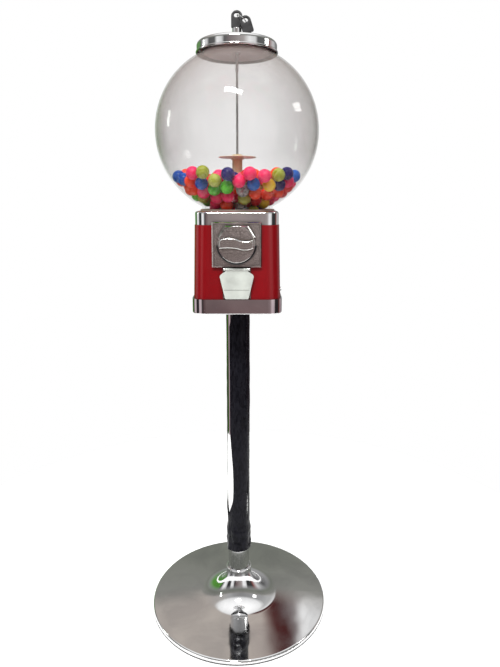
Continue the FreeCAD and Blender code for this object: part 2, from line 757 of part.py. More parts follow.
def build_dial():
    """The round dial and the wavy ridge that the fingers turn."""
    dial = new_body("dial")
    back = "hood_front + 0.4"
    pad(dial, "XZ_Plane", [("circle", "0", "0", "dial_rad")], back, "dial_thick")
    soften(dial, at_front(f"{back} + dial_thick"), "1.5")
    crest, dip = 10.5, -8.8
    wave = [
        ("-35", f"{dip} + 0.5", "36.5", "left"),
        ("3", f"{dip}", "120", "right"),
        ("35", f"{dip} + 1.5", "38", "left"),
        ("34", f"{crest} + 0.5", "36.5", "left"),
        ("3", f"{crest}", "36", "right"),
        ("-33.5", f"{crest}", "50", "left"),
    ]
    pad(dial, "XZ_Plane", [wave], f"{back} + dial_thick - 1", "ridge_high + 1")
    soften(dial, at_front(f"{back} + dial_thick + ridge_high"), "3")
    place(dial, z="mech_z")


def build_drive():
    """Shaft, coin wheel and pinion, which turn with the dial."""
    shaft = new_body("knob_shaft")
    shaft_back = "pinion_front - 0.5"
    pad(shaft, "XZ_Plane", [("circle", "0", "mech_z", "shaft_rad")], shaft_back,
        f"hood_front + 0.4 - ({shaft_back})")
    wheel = new_body("coin_wheel")
    rim = ("circle", "0", "mech_z", "coin_wheel_rad")
    hole = ("circle", "0", "mech_z", "shaft_rad")
    pad(wheel, "XZ_Plane", [rim, hole], "face_back_front - 5", "4")
    notch = rectangle("-13", "mech_z + coin_wheel_rad - 12", "13", "mech_z + coin_wheel_rad + 2")
    pocket(wheel, "XZ_Plane", [notch], "face_back_front", "10")


def build_pinion():
    pinion = new_body("drive_pinion")
    root = "gear_mod * pinion_teeth / 2 - 1.25 * gear_mod"
    pad(pinion, "XY_Plane", [("circle", "0", "0", root), ("circle", "0", "0", "shaft_rad")],
        "0", "8")
    pitch = "gear_mod * pinion_teeth / 2"
    tooth = pad(pinion, "XY_Plane", [[
        ("-tooth_half", f"{root} - 0.8"),
        ("tooth_half", f"{root} - 0.8"),
        ("tooth_half + 0.05", f"{pitch} - 0.9"),
        ("tooth_half - 0.1", pitch),
        ("0.6", f"{pitch} + 0.8 * gear_mod"),
        ("-0.6", f"{pitch} + 0.8 * gear_mod"),
        ("-tooth_half + 0.1", pitch),
        ("-tooth_half - 0.05", f"{pitch} - 0.9"),
    ]], "0", "8")
    repeat(pinion, tooth, "pinion_teeth")
    place(pinion, y="-pinion_front", z="mech_z")
    half_pitch = FreeCAD.Rotation(UP, size("180 / pinion_teeth"))
    pinion.Placement.Rotation = FreeCAD.Rotation(V(1, 0, 0), 90) * half_pitch


def build_frame():
    frame = new_body("mech_frame")
    low, high = "face_low_z + 5", "face_top_z - 6"
    pad(frame, "XZ_Plane", [rectangle("-44", low, "44", high),
                            ("circle", "0", "mech_z", "shaft_rad + running_gap")],
        "frame_front - 3", "3")
    middle = "(face_low_z + face_top_z) / 2"
    posts = []
    screws = []
    for number, (x, z) in enumerate(corners("38", "35", middle)):
        posts.append(facing("mech_post_%d" % number, "3.5", "face_back_front - frame_front",
                            "face_back_front", x, z))
        screws.append(facing("mech_screw_%d" % number, "3.6", "2.4", "frame_front - 3", x, z))
    group("mech_posts", posts)
    group("mech_screws", screws)


# ---------------------------------------------------------------- dispenser

def build_product_wheel():
    wheel = new_body("product_wheel")
    pad(wheel, "XY_Plane", [("circle", "0", "0", "wheel_rad"),
                            ("circle", "0", "0", "bush_rad + running_gap")],
        "wheel_low_z", "wheel_thick")
    diagonal = "pocket_orbit * sqrt(0.5)"
    well = pocket(wheel, "XY_Plane", [("circle", diagonal, diagonal, "pocket_rad")],
                  "wheel_low_z + wheel_thick", "wheel_thick + 1")
    repeat(wheel, well, "4")
    crown_rad = "gear_mod * crown_teeth / 2"
    tooth = new_tooth(wheel, crown_rad)
    repeat(wheel, tooth, "crown_teeth")


def new_tooth(wheel, crown_rad):
    """One radial crown tooth with sloping flanks, at the front."""
    tip_z = "mech_z + gear_mod * pinion_teeth / 2 - 0.8 * gear_mod"
    flank = "tan(20) * gear_mod"
    outline = [
        (f"-tooth_half + 0.8 * {flank}", tip_z),
        (f"tooth_half - 0.8 * {flank}", tip_z),
        (f"tooth_half + 1 * {flank}", "wheel_low_z + 0.5"),
        (f"-tooth_half - 1 * {flank}", "wheel_low_z + 0.5"),
    ]
    return pad(wheel, "XZ_Plane", [outline], f"{crown_rad} - 4", "8")


def build_housing():
    rim = "wheel_rad + 2"
    spun("wheel_bush", rectangle("rod_rad + 0.3", "housing_low_z", "bush_rad",
                                 "wheel_low_z + wheel_thick + 1.8"))
    housing = spun("wheel_housing", [
        ("bush_rad + 0.2", "housing_low_z"),
        (f"{rim} + 2.5", "housing_low_z"),
        (f"{rim} + 2.5", "shoulder_z"),
        ("mouth_rad + 3", "brim_z"),
        ("brim_rad", "brim_z"),
        ("brim_rad", "collar_top_z - sheet_thick"),
        ("mouth_rad", "collar_top_z - sheet_thick"),
        (rim, "shoulder_z"),
        (rim, "crown_room_z"),
        ("crown_room_rad", "crown_room_z"),
        ("crown_room_rad", "wheel_low_z - 0.5"),
        ("bush_rad + 0.2", "wheel_low_z - 0.5"),
    ])
    pocket(housing, "XY_Plane", [("circle", "0", "-pocket_orbit", "15")], "wheel_low_z", "20")
    pinion_room = rectangle("-21", "housing_low_z - 8", "21", "wheel_low_z + 1")
    pocket(housing, "XZ_Plane", [pinion_room], "frame_front", "frame_front - pinion_front + 0.8")
    cover = new_body("drop_cover")
    wheel_top = "wheel_low_z + wheel_thick"
    sector = [
        ("-12", "-22"),
        ("-38", "-wheel_rad * 0.84"),
        ("38", "-wheel_rad * 0.84", "wheel_rad + 1.8", "left"),
        ("12", "-22"),
    ]
    pad(cover, "XY_Plane", [sector], f"{wheel_top} + 0.5", "1.6")


def build_chute():
    """The duct from the drop hole down and forward to the door."""
    chute = new_body("chute")
    drop_back, drop_front = "21", "54.6"
    top = "housing_low_z - 0.2"
    mouth = "face_back_front + 0.4"
    roof = "face_low_z - 4.5"
    floor = "chute_low_z"
    outer = [
        (f"-({mouth})", floor),
        (f"-{drop_back}", f"{floor} + 42"),
        (f"-{drop_back}", top),
        (f"-{drop_front}", top),
        (f"-{drop_front}", f"{roof} + 1"),
        (f"-({mouth})", roof),
    ]
    wall = "chute_wall"
    inner = [
        (f"-({mouth}) - 1", f"{floor} + {wall} - 0.6"),
        (f"-{drop_back} - {wall}", f"{floor} + 42 + {wall} / 2"),
        (f"-{drop_back} - {wall}", f"{top} + 1"),
        (f"-{drop_front} + {wall}", f"{top} + 1"),
        (f"-{drop_front} + {wall}", f"{roof} + 1 - {wall}"),
        (f"-({mouth}) - 1", f"{roof} - {wall}"),
    ]
    half = "chute_half"
    pad(chute, "YZ_Plane", [outer], f"-{half}", f"2 * {half}")
    pocket(chute, "YZ_Plane", [inner], f"{half} - {wall}", f"2 * ({half} - {wall})")


def build_door():
    opening = rectangle("-22.5", "tray_z + tray_high + 11", "22.5", "face_low_z - 7")
    bezel = new_body("chute_bezel")
    pad(bezel, "XZ_Plane",
        [rectangle("-29", "tray_z + tray_high + 3", "29", "face_low_z - 0.6"), opening],
        "pin_front - 5.6", "1.8")
    for side in (-1, 1):
        near, far = sorted((side * 24.2, side * 27))
        lug = rounded_lug("pin_front - 4.5", "pin_z")
        pad(bezel, "YZ_Plane", [lug], str(near), str(far - near))
    pocket(bezel, "YZ_Plane", [("circle", "-pin_front", "pin_z", "pin_rad")], "30", "60")
    pin = primitive("Part::Cylinder", "hinge_pin", "-28", "-pin_front", "pin_z", V(0, 1, 0), "90",
                    Radius="pin_rad", Height="56")
    NODES.append(pin)
    door = new_body("chute_door")
    front = "pin_front + 0.9"
    foot = 22
    panel = [
        (f"-{foot}", "door_low_z", "3.5", "left"),
        (f"{foot}", "door_low_z"),
        (f"{foot} + 3.2", "door_low_z + 2.6", "3.5", "left"),
        ("door_half", "pin_z - 17"),
        ("door_half - 1.5", "pin_z - 11.5", "7", "left"),
        ("neck_half + 3.5", "pin_z - 6.5"),
        ("neck_half - 0.2", "pin_z - 3.5", "5", "right"),
        ("neck_half - 0.2", "pin_z - 2"),
        ("-neck_half + 0.2", "pin_z - 2"),
        ("-neck_half + 0.2", "pin_z - 3.5"),
        ("-neck_half - 3.5", "pin_z - 6.5", "5", "right"),
        ("-door_half + 1.5", "pin_z - 11.5"),
        ("-door_half", "pin_z - 17", "7", "left"),
        (f"-{foot} - 3.2", "door_low_z + 2.6"),
    ]
    pad(door, "XZ_Plane", [panel], f"{front} - door_thick", "door_thick")
    finish_door(door, front)


def rounded_lug(back, height):
    """The side outline of a hinge lug, with a round end about the pin."""
    return [
        ("-pin_front", f"{height} + 3.1"),
        ("-pin_front", f"{height} - 3.1", "3.15", "left"),
        (f"-({back})", f"{height} - 3.1"),
        (f"-({back})", f"{height} + 3.1"),
    ]


def finish_door(door, front):
    """Bevelled edge, groove and hinge knuckle of the chute door."""
    soften(door, at_front(front), "1")
    groove = rectangle("-26", "door_low_z + 19", "26", "door_low_z + 20")
    pocket(door, "XZ_Plane", [groove], front, "0.6")
    knuckle_half = "neck_half - 0.3"
    pad(door, "YZ_Plane", [("circle", "-pin_front", "pin_z", "3")], f"-({knuckle_half})",
        f"2 * ({knuckle_half})")
    pocket(door, "YZ_Plane", [("circle", "-pin_front", "pin_z", "pin_rad + running_gap")],
           "neck_half + 1", "2 * neck_half + 2")


# ---------------------------------------------------------------- balls

BALL_COLOURS = (
    ("pink", 30),
    ("orange", 17),
    ("red", 9),
    ("green", 12),
    ("olive", 9),
    ("blue", 9),
    ("navy", 5),
    ("yellow", 5),
    ("clear", 4),
)
# The balls that lie against the front of the glass, in the top layer, from left to right.
FRONT_ROW = ("blue", "blue", "orange", "orange", "orange", "pink", "blue", "pink", "olive",
             "green", "olive", "green", "navy", "pink", "clear", "pink", "blue", "pink",
             "yellow", "olive", "orange", "navy", "navy", "pink", "red", "blue")
SPOTS_TRIED = 420
SEED = 20


def resting_height(distance):
    """The lowest centre of a ball at this distance from the axis, in an empty globe."""
    reach = size("ball_rad + ball_gap")
    cover_top = size("wheel_low_z + wheel_thick + 2.1")
    mouth = size("mouth_rad")
    inner = size("globe_rad - globe_wall")
    globe_z = size("globe_z")
    if distance <= mouth - reach:
        return cover_top + reach
    if distance < mouth * (inner - reach) / inner:
        edge_z = globe_z - math.sqrt(inner ** 2 - mouth ** 2)
        return edge_z + math.sqrt(reach ** 2 - (mouth - distance) ** 2)
    return globe_z - math.sqrt((inner - reach) ** 2 - distance ** 2)


def settle(centres, x, y, apart, floor):
    """The height at which a ball dropped at (x, y) stops on the balls below it."""
    height = floor
    for other in centres:
        gap = apart ** 2 - (other.x - x) ** 2 - (other.y - y) ** 2
        if gap > 0:
            height = max(height, other.z + math.sqrt(gap))
    return height


def drop_balls():
    """Each ball goes to the lowest of many random free spots."""
    dice = random.Random(SEED)
    apart = size("2 * ball_rad + ball_gap")
    nearest = size("tube_rad + ball_rad + ball_gap")
    furthest = 140
    centres = []
    for number in range(int(size("ball_count"))):
        best = None
        for attempt in range(SPOTS_TRIED):
            distance = math.sqrt(dice.uniform(nearest ** 2, furthest ** 2))
            angle = dice.uniform(0, 2 * math.pi)
            x, y = distance * math.cos(angle), distance * math.sin(angle)
            height = settle(centres, x, y, apart, resting_height(distance))
            if best is None or height < best.z:
                best = V(x, y, height)
        centres.append(best)
    print("highest ball centre %.1f" % max(centre.z for centre in centres))
    return centres


def ball_node(label, centres):
    """One node of loose balls of one colour."""
    node = doc.addObject("Part::Feature", label)
    node.Label = label
    node.Shape = Part.makeCompound([Part.makeSphere(size("ball_rad"), centre) for centre in centres])
    node.Placement = FreeCAD.Placement()
    NODES.append(node)


def front_row(centres):
    """The top layer of balls against the front of the glass, from left to right."""
    top = max(centre.z for centre in centres) - 3 * size("ball_rad")
    glass = size("globe_rad - globe_wall - 2 * ball_rad")
    middle = V(0, 0, size("globe_z"))
    row = [centre for centre in centres
           if centre.y < -20 and centre.z > top and (centre - middle).Length > glass]
    return sorted(row, key=lambda centre: centre.x)


def build_balls():
    names = [name for name, share in BALL_COLOURS]
    shares = [share for name, share in BALL_COLOURS]
    dice = random.Random(SEED)
    piles = {name: [] for name in names}
    centres = drop_balls()
    row = front_row(centres)
    print("balls in the front row: %d" % len(row))
    for centre in centres:
        name = dice.choices(names, shares)[0]
        if centre in row:
            name = FRONT_ROW[row.index(centre) * len(FRONT_ROW) // len(row)]
        piles[name].append(centre)
    for name in names:
        ball_node("balls_" + name, piles[name])
    pocket_z = size("wheel_low_z + ball_rad + ball_gap")
    orbit = size("pocket_orbit")
    quarter = math.pi / 2
    ball_node("balls_in_wheel", [
        V(orbit * math.cos((turn + 0.5) * quarter), orbit * math.sin((turn + 0.5) * quarter), pocket_z)
        for turn in range(4)
    ])


# ---------------------------------------------------------------- build, check, export

def check_document():
    doc.recompute()
    failed = [item.Name for item in doc.Objects if "Invalid" in item.State or "Error" in item.State]
    if failed:
        raise RuntimeError("failed: %s" % ", ".join(failed))
    for item in doc.Objects:
        cuts = item.TypeId in ("PartDesign::Pocket", "PartDesign::Groove", "PartDesign::SubtractiveLoft")
        if cuts and item.BaseFeature.Shape.Volume - item.Shape.Volume < 0.5:
            raise RuntimeError("%s cuts nothing" % item.Name)
    for node in NODES:
        if node.Shape.isNull() or not node.Shape.isValid() or not node.Shape.Solids:
            raise RuntimeError("%s has no valid solid" % node.Label)


def export_nodes():
    for stale in os.listdir("parts"):
        os.remove(os.path.join("parts", stale))
    for node in NODES:
        node.Shape.exportStep(os.path.join("parts", node.Label + ".step"))
        box = node.Shape.optimalBoundingBox()
        print("%-17s %3d solids  x %7.1f %7.1f  y %7.1f %7.1f  z %7.1f %7.1f" % (
            node.Label, len(node.Shape.Solids), box.XMin, box.XMax, box.YMin, box.YMax,
            box.ZMin, box.ZMax))


build_stand()
build_flange()
build_wrap()
build_tray()
build_shell()
build_collar()
build_globe()
build_lid()
build_rod()
build_lock()
build_keys()
build_faceplate()
build_hood()
build_dial()
build_drive()
build_pinion()
build_frame()
build_product_wheel()
build_housing()
build_chute()
build_door()
build_balls()
check_document()
export_nodes()
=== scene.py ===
import bmesh
import bpy
import json
import math
import random
from mathutils import Euler, Matrix, Vector, noise

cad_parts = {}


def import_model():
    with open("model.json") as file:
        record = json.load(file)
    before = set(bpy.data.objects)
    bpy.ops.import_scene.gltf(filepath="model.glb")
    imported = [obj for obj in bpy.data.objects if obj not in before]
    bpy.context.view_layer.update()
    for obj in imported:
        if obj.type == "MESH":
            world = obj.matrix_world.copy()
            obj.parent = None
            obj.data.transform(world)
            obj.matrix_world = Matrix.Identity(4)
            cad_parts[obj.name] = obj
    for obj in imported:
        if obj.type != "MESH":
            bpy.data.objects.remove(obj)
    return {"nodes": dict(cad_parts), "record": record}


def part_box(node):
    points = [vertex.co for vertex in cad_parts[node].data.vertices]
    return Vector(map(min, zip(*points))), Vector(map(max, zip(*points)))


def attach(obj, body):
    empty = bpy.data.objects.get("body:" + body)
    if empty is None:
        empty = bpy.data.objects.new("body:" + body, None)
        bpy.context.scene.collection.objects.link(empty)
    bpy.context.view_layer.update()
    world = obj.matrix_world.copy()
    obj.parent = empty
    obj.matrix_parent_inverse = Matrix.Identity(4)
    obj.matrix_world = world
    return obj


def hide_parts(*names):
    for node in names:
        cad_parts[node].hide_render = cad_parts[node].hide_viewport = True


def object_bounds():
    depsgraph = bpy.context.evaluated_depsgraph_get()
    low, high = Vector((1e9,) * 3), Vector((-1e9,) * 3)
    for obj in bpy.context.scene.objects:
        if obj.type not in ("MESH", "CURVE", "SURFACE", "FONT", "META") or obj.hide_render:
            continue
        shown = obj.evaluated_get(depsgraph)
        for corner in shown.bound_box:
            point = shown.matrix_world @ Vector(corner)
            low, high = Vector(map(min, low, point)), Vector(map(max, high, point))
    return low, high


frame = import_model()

# A gumball machine on a chrome stand. Metres, +Z up, the front faces -Y.

CAD_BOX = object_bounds()
NODES = frame["nodes"]
BALL_COLOURS = ("pink", "orange", "red", "green", "olive", "blue", "navy", "yellow", "clear")


# ---------------------------------------------------------------- material helper

class Nodes:
    """Short ways to add nodes to a material's or a world's tree."""

    def __init__(self, tree):
        self.tree = tree

    def feed(self, target, value):
        """Gives a socket a plain value or another node's output."""
        if isinstance(value, bpy.types.NodeSocket):
            self.tree.links.new(value, target)
        else:
            target.default_value = value

    def node(self, kind, **inputs):
        made = self.tree.nodes.new("ShaderNode" + kind)
        for socket, value in inputs.items():
            self.feed(made.inputs[socket.replace("_", " ")], value)
        return made

    def combine(self, operation, first, second):
        made = self.node("Math")
        made.operation = operation
        self.feed(made.inputs[0], first)
        self.feed(made.inputs[1], second)
        return made.outputs["Value"]

    def spread(self, factor, low, high, start=0.35, end=0.65):
        """The factor between start and end, mapped to numbers from low to high."""
        made = self.node("MapRange", Value=factor, From_Min=start, From_Max=end, To_Min=low,
                         To_Max=high)
        return made.outputs["Result"]

    def colours(self, factor, *stops):
        """A colour ramp. Each stop is (position, colour), in rising order."""
        ramp = self.node("ValToRGB", Fac=factor)
        points = ramp.color_ramp.elements
        while len(points) < len(stops):
            points.new(0.5)
        for point, (position, colour) in zip(points, stops):
            point.position = position
            point.color = (*colour, 1)
        return ramp.outputs["Color"]

    def mix(self, kind, factor, first, second):
        made = self.node("MixRGB", Fac=factor, Color1=first, Color2=second)
        made.blend_type = kind
        return made.outputs["Color"]


class Finish(Nodes):
    """A Principled material whose nodes work in the frame's coordinates, in metres."""

    def __init__(self, name, colour, **sockets):
        self.material = bpy.data.materials.new(name)
        self.material.use_nodes = True
        super().__init__(self.material.node_tree)
        self.shader = self.tree.nodes["Principled BSDF"]
        self.place = self.tree.nodes.new("ShaderNodeTexCoord").outputs["Object"]
        self.normal = None
        self.shader.inputs["Base Color"].default_value = (*colour, 1)
        for socket, value in sockets.items():
            self.shader.inputs[socket.replace("_", " ")].default_value = value

    def link(self, output, socket):
        self.tree.links.new(output, self.shader.inputs[socket])

    def noise(self, scale, detail=2, stretch=(1, 1, 1), distortion=0):
        place = self.node("Mapping", Vector=self.place, Scale=stretch).outputs["Vector"]
        made = self.node("TexNoise", Vector=place, Scale=scale, Detail=detail, Distortion=distortion)
        return made.outputs["Fac"]

    def attribute(self, name):
        made = self.node("Attribute")
        made.attribute_name = name
        return made.outputs["Fac"]

    def rough(self, factor, low, high):
        self.link(self.spread(factor, low, high), "Roughness")

    def bump(self, height, distance, strength=1.0):
        made = self.node("Bump", Height=height, Distance=distance, Strength=strength)
        if self.normal:
            self.tree.links.new(self.normal, made.inputs["Normal"])
        self.normal = made.outputs["Normal"]
        self.link(self.normal, "Normal")

    def paint(self, colour, painted_shade=0.0, reach=0.004):
        """Links the base colour, with painted shade that darkens creases narrower than reach."""
        if painted_shade:
            # painted shade: ambient occlusion darkens the base colour in creases, where shade falls
            creases = self.node("AmbientOcclusion", Distance=reach).outputs["AO"]
            colour = self.mix("MULTIPLY", painted_shade, colour,
                              self.colours(creases, (0.25, (0.06, 0.055, 0.05)), (0.85, (1, 1, 1))))
        self.link(colour, "Base Color")


def shades(colour, *levels):
    """The colour at several brightnesses."""
    return [tuple(min(channel * level, 1) for channel in colour) for level in levels]


# ---------------------------------------------------------------- metals

def chrome():
    """Polished plate with faint smudges and the slight waviness of pressed sheet."""
    made = Finish("chrome", (0.80, 0.80, 0.80), Metallic=1)
    smudge = made.noise(11, 5, distortion=0.6)
    # painted shade darkens creases, and the rim near the floor, within 12 mm
    made.paint(made.colours(smudge, (0.35, (0.70, 0.70, 0.71)), (0.6, (0.86, 0.86, 0.86))),
               painted_shade=0.85, reach=0.012)
    made.rough(smudge, 0.10, 0.03)
    made.bump(made.noise(17, 1), 0.0007, 0.35)
    made.bump(made.noise(900, 2), 0.00002, 0.15)
    return made


def cast_chrome():
    """Plate over a grainy die casting: dark specks between bright ones, and painted shade in the
    creases.
    """
    made = Finish("cast_chrome", (0.5, 0.5, 0.5), Metallic=1)
    speck = made.noise(560, 3)
    cloud = made.noise(40, 3)
    mixed = made.combine("ADD", speck, made.combine("MULTIPLY", cloud, 0.3))
    made.paint(made.colours(mixed, (0.45, (0.40, 0.39, 0.37)), (0.66, (0.66, 0.65, 0.62)),
                            (0.85, (0.95, 0.95, 0.93))), painted_shade=1.0, reach=0.009)
    made.rough(cloud, 0.14, 0.26)
    made.bump(made.noise(430, 2), 0.00012, 0.4)
    return made


def steel():
    made = Finish("steel", (0.5, 0.5, 0.5), Metallic=1)
    brushed = made.noise(160, 3, stretch=(1, 1, 0.06))
    made.link(made.colours(brushed, (0.35, (0.36, 0.36, 0.36)), (0.65, (0.58, 0.58, 0.57))),
              "Base Color")
    made.rough(brushed, 0.22, 0.42)
    made.bump(brushed, 0.0001, 0.3)
    return made


def brass():
    made = Finish("brass", (0.72, 0.52, 0.25), Metallic=1)
    turned = made.noise(240, 2, stretch=(0.2, 0.2, 1))
    made.link(made.colours(turned, (0.35, (0.55, 0.38, 0.16)), (0.65, (0.78, 0.58, 0.30))),
              "Base Color")
    made.rough(turned, 0.2, 0.36)
    return made


# ---------------------------------------------------------------- paint, rubber and plastics

def red_paint():
    """Gloss red over sheet metal: orange peel and faint upright streaks."""
    red = (0.215, 0.0015, 0.0045)
    made = Finish("red_paint", red, Coat_Weight=0.35, Coat_Roughness=0.08, Specular_IOR_Level=0.25)
    streak = made.noise(24, 2, stretch=(1, 1, 0.02))
    dark, plain, light = shades(red, 0.86, 1.0, 1.2)
    # painted shade darkens the creases
    made.paint(made.colours(streak, (0.3, dark), (0.5, plain), (0.72, light)), painted_shade=0.6)
    made.rough(made.noise(60, 4), 0.30, 0.42)
    made.bump(made.noise(260, 1), 0.00005, 0.25)
    return made


def soft_plastic(name, colour, rough=0.45, grain=340, depth=0.00008, painted_shade=0.5, **sockets):
    """Moulded plastic or rubber: a fine grain, uneven tone and painted shade in creases."""
    made = Finish(name, colour, **sockets)
    tone = made.noise(28, 4)
    dark, light = shades(colour, 0.82, 1.15)
    # painted shade darkens the creases
    made.paint(made.colours(tone, (0.32, dark), (0.68, light)), painted_shade=painted_shade)
    made.rough(tone, rough - 0.08, rough + 0.08)
    made.bump(made.noise(grain, 2), depth, 0.5)
    return made


def door_white():
    """Glossy milky plastic, a little green."""
    # painted shade darkens the door's creases at full strength
    return soft_plastic("door_white", (0.60, 0.64, 0.59), 0.18, 120, 0.00010, painted_shade=1.0,
                        Coat_Weight=0.5, Coat_Roughness=0.05)


def tan_wood():
    """The sleeve round the rod: cut card or wood with upright grain."""
    made = Finish("tan_wood", (0.62, 0.40, 0.20))
    grain = made.noise(170, 4, stretch=(1, 1, 0.08))
    made.link(made.colours(grain, (0.3, (0.50, 0.37, 0.19)), (0.7, (0.70, 0.54, 0.32))), "Base Color")
    made.rough(grain, 0.45, 0.65)
    made.bump(grain, 0.0003, 0.5)
    return made


def tan_plastic():
    """The baffle disc: thin translucent plastic."""
    return soft_plastic("tan_plastic", (0.78, 0.66, 0.50), 0.3, 200, Alpha=0.7)


def wrap_film():
    """Thin black film: glossy, with crinkles finer than the mesh."""
    made = Finish("wrap", (0.008, 0.008, 0.011), Specular_IOR_Level=0.09)
    crinkle = made.noise(150, 4, stretch=(1, 1, 0.4), distortion=1.0)
    made.rough(crinkle, 0.20, 0.38)
    made.link(made.colours(crinkle, (0.35, (0.004, 0.004, 0.006)), (0.7, (0.012, 0.012, 0.017))),
              "Base Color")
    made.bump(crinkle, 0.0006, 0.5)
    return made


RUBBED_BELOW = 0.06        # heights over the globe's bottom, between which the haze sets in
CLEAN_ABOVE = 0.13


def clear_plastic():
    """The globe: clear plastic, denser towards its outline and rubbed clear by the balls below."""
    made = Finish("clear_plastic", (0.22, 0.185, 0.17), IOR=2.1, Roughness=0.03)
    haze = made.noise(6, 3, stretch=(1, 1, 0.5))
    facing = made.node("LayerWeight", Blend=0.22).outputs["Facing"]
    wall = made.combine("ADD", made.spread(facing, 0.055, 0.62, 0.0, 1.0),
                        made.spread(haze, -0.012, 0.022))
    height = made.node("SeparateXYZ", Vector=made.place).outputs["Z"]
    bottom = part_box("globe")[0].z
    rubbed = made.spread(height, 0.4, 1.0, bottom + RUBBED_BELOW, bottom + CLEAN_ABOVE)
    made.link(made.combine("MULTIPLY", wall, rubbed), "Alpha")
    made.rough(haze, 0.02, 0.06)
    made.bump(made.noise(9, 1), 0.0008, 0.25)
    return made


# ---------------------------------------------------------------- pieces

def add_piece(name, shape, material, smooth=True):
    """Turns a bmesh into a scene object with one material."""
    mesh = bpy.data.meshes.new(name)
    shape.to_mesh(mesh)
    shape.free()
    if smooth:
        mesh.shade_smooth()
    mesh.materials.append(material)
    piece = bpy.data.objects.new(name, mesh)
    bpy.context.scene.collection.objects.link(piece)
    return piece


# ---------------------------------------------------------------- balls

BALL_SEED = 7
BALL_SUBDIVISIONS = 4
BALL_REACH = 0.0138        # a little more than a ball's radius

BALL_PAINTS = {
    "pink": ((1.0, 0.005, 0.11), (1.0, 0.05, 0.17)),
    "orange": ((1.0, 0.035, 0.008), (1.0, 0.10, 0.03)),
    "red": ((0.55, 0.004, 0.01), (0.80, 0.03, 0.02)),
    "green": ((0.03, 0.42, 0.01), (0.16, 0.62, 0.03)),
    "olive": ((0.30, 0.33, 0.02), (0.52, 0.55, 0.12)),
    "blue": ((0.001, 0.05, 0.34), (0.004, 0.13, 0.52)),
    "navy": ((0.003, 0.004, 0.06), (0.02, 0.01, 0.18)),
    "yellow": ((0.95, 0.48, 0.003), (1.0, 0.66, 0.04)),
    "clear": ((0.30, 0.31, 0.30), (0.85, 0.85, 0.83)),
}


def ball_paint(colour):
    """Swirled rubber with a faint moulding seam. Each ball has its own tone."""
    deep, light = BALL_PAINTS[colour]
    clear = 0.5 if colour == "clear" else 0.0
    made = Finish("ball_" + colour, deep, Coat_Weight=0.12, Coat_Roughness=0.1,
                  Specular_IOR_Level=0.3, Transmission_Weight=clear, Subsurface_Weight=0.1,
                  Subsurface_Scale=0.004)
    swirl = made.noise(55, 3, distortion=2.5)
    tone = made.combine("MULTIPLY", made.attribute("tone"), 0.22)
    mixed = made.combine("ADD", swirl, tone)
    middle = tuple((a + b) / 2 for a, b in zip(deep, light))
    made.link(made.colours(mixed, (0.38, deep), (0.62, middle), (0.82, light)), "Base Color")
    made.rough(swirl, 0.22, 0.38)
    seam = made.spread(made.attribute("seam"), 1, 0, 0.0, 0.06)
    made.bump(seam, 0.0004, 0.6)
    made.bump(made.noise(300, 2), 0.0001, 0.3)
    return made


def ball_centres(node):
    """The centres of the separate balls in a CAD node, in a fixed order."""
    joined = bmesh.new()
    joined.from_mesh(NODES[node].data)
    bmesh.ops.remove_doubles(joined, verts=joined.verts, dist=1e-6)
    unseen = set(joined.verts)
    centres = []
    while unseen:
        ball = [unseen.pop()]
        for vertex in ball:
            near = {edge.other_vert(vertex) for edge in vertex.link_edges} & unseen
            unseen -= near
            ball.extend(near)
        lowest, highest = (Vector([pick(vertex.co[axis] for vertex in ball) for axis in range(3)])
                           for pick in (min, max))
        centres.append((lowest + highest) / 2)
    joined.free()
    return sorted(centres, key=lambda centre: tuple(round(value, 5) for value in centre))


def balls(node, colour, body, dice):
    """One piece for all the balls of a CAD node, each turned its own way."""
    centres = ball_centres(node)
    radius = centres[0].z - min(vertex.co.z for vertex in NODES[node].data.vertices
                                if (vertex.co - centres[0]).length < BALL_REACH)
    pile = bmesh.new()
    tones, seams = [], []
    for centre in centres:
        spin = Euler([dice.uniform(0, math.tau) for axis in range(3)]).to_matrix().to_4x4()
        made = bmesh.ops.create_icosphere(pile, subdivisions=BALL_SUBDIVISIONS, radius=radius,
                                          matrix=Matrix.Translation(centre) @ spin)
        pole = spin @ Vector((0, 0, 1))
        tone = dice.random()
        tones += [tone] * len(made["verts"])
        seams += [abs((vertex.co - centre).dot(pole)) / radius for vertex in made["verts"]]
    piece = add_piece("loose_" + node, pile, FINISHES["ball_" + colour])
    for name, values in (("tone", tones), ("seam", seams)):
        piece.data.attributes.new(name, "FLOAT", "POINT").data.foreach_set("value", values)
    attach(piece, body)
    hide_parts(node)


# ---------------------------------------------------------------- dial shadow lip (painted shadow)

LIP_STEPS = 72
LIP_START = -176           # degrees, where the lip's arc starts and how far it goes
LIP_SPAN = 172


def dial_shadow_lip():
    """A black lip round the dial's lower half, proud of the faceplate: a dark piece that paints the
    shadow under the dial.
    """
    low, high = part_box("dial")
    radius = (high.x - low.x) / 2
    middle = (high.z + low.z) / 2
    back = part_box("faceplate")[0].y + 0.0015
    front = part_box("coin_hood")[0].y - 0.0034
    # millimetres out from the dial's edge, and the depth in metres
    section = [(0.5, back), (3.6, back), (3.3, front), (2.6, front - 0.0004), (1.3, front),
               (0.5, front)]
    lip = bmesh.new()
    rings = []
    for step in range(LIP_STEPS + 1):
        angle = math.radians(LIP_START + LIP_SPAN * step / LIP_STEPS)
        rings.append([lip.verts.new(((radius + out / 1000) * math.cos(angle), depth,
                                     middle + (radius + out / 1000) * math.sin(angle)))
                      for out, depth in section])
    for ring, after in zip(rings, rings[1:]):
        for index in range(len(section)):
            beside = (index + 1) % len(section)
            lip.faces.new((ring[index], ring[beside], after[beside], after[index]))
    lip.faces.new(rings[0])
    lip.faces.new(reversed(rings[-1]))
    bmesh.ops.recalc_face_normals(lip, faces=lip.faces)
    piece = add_piece("dial_shadow_lip", lip, FINISHES["black_plastic"])
    piece.data.set_sharp_from_angle(angle=math.radians(35))
    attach(piece, "machine")


# ---------------------------------------------------------------- pole wrap

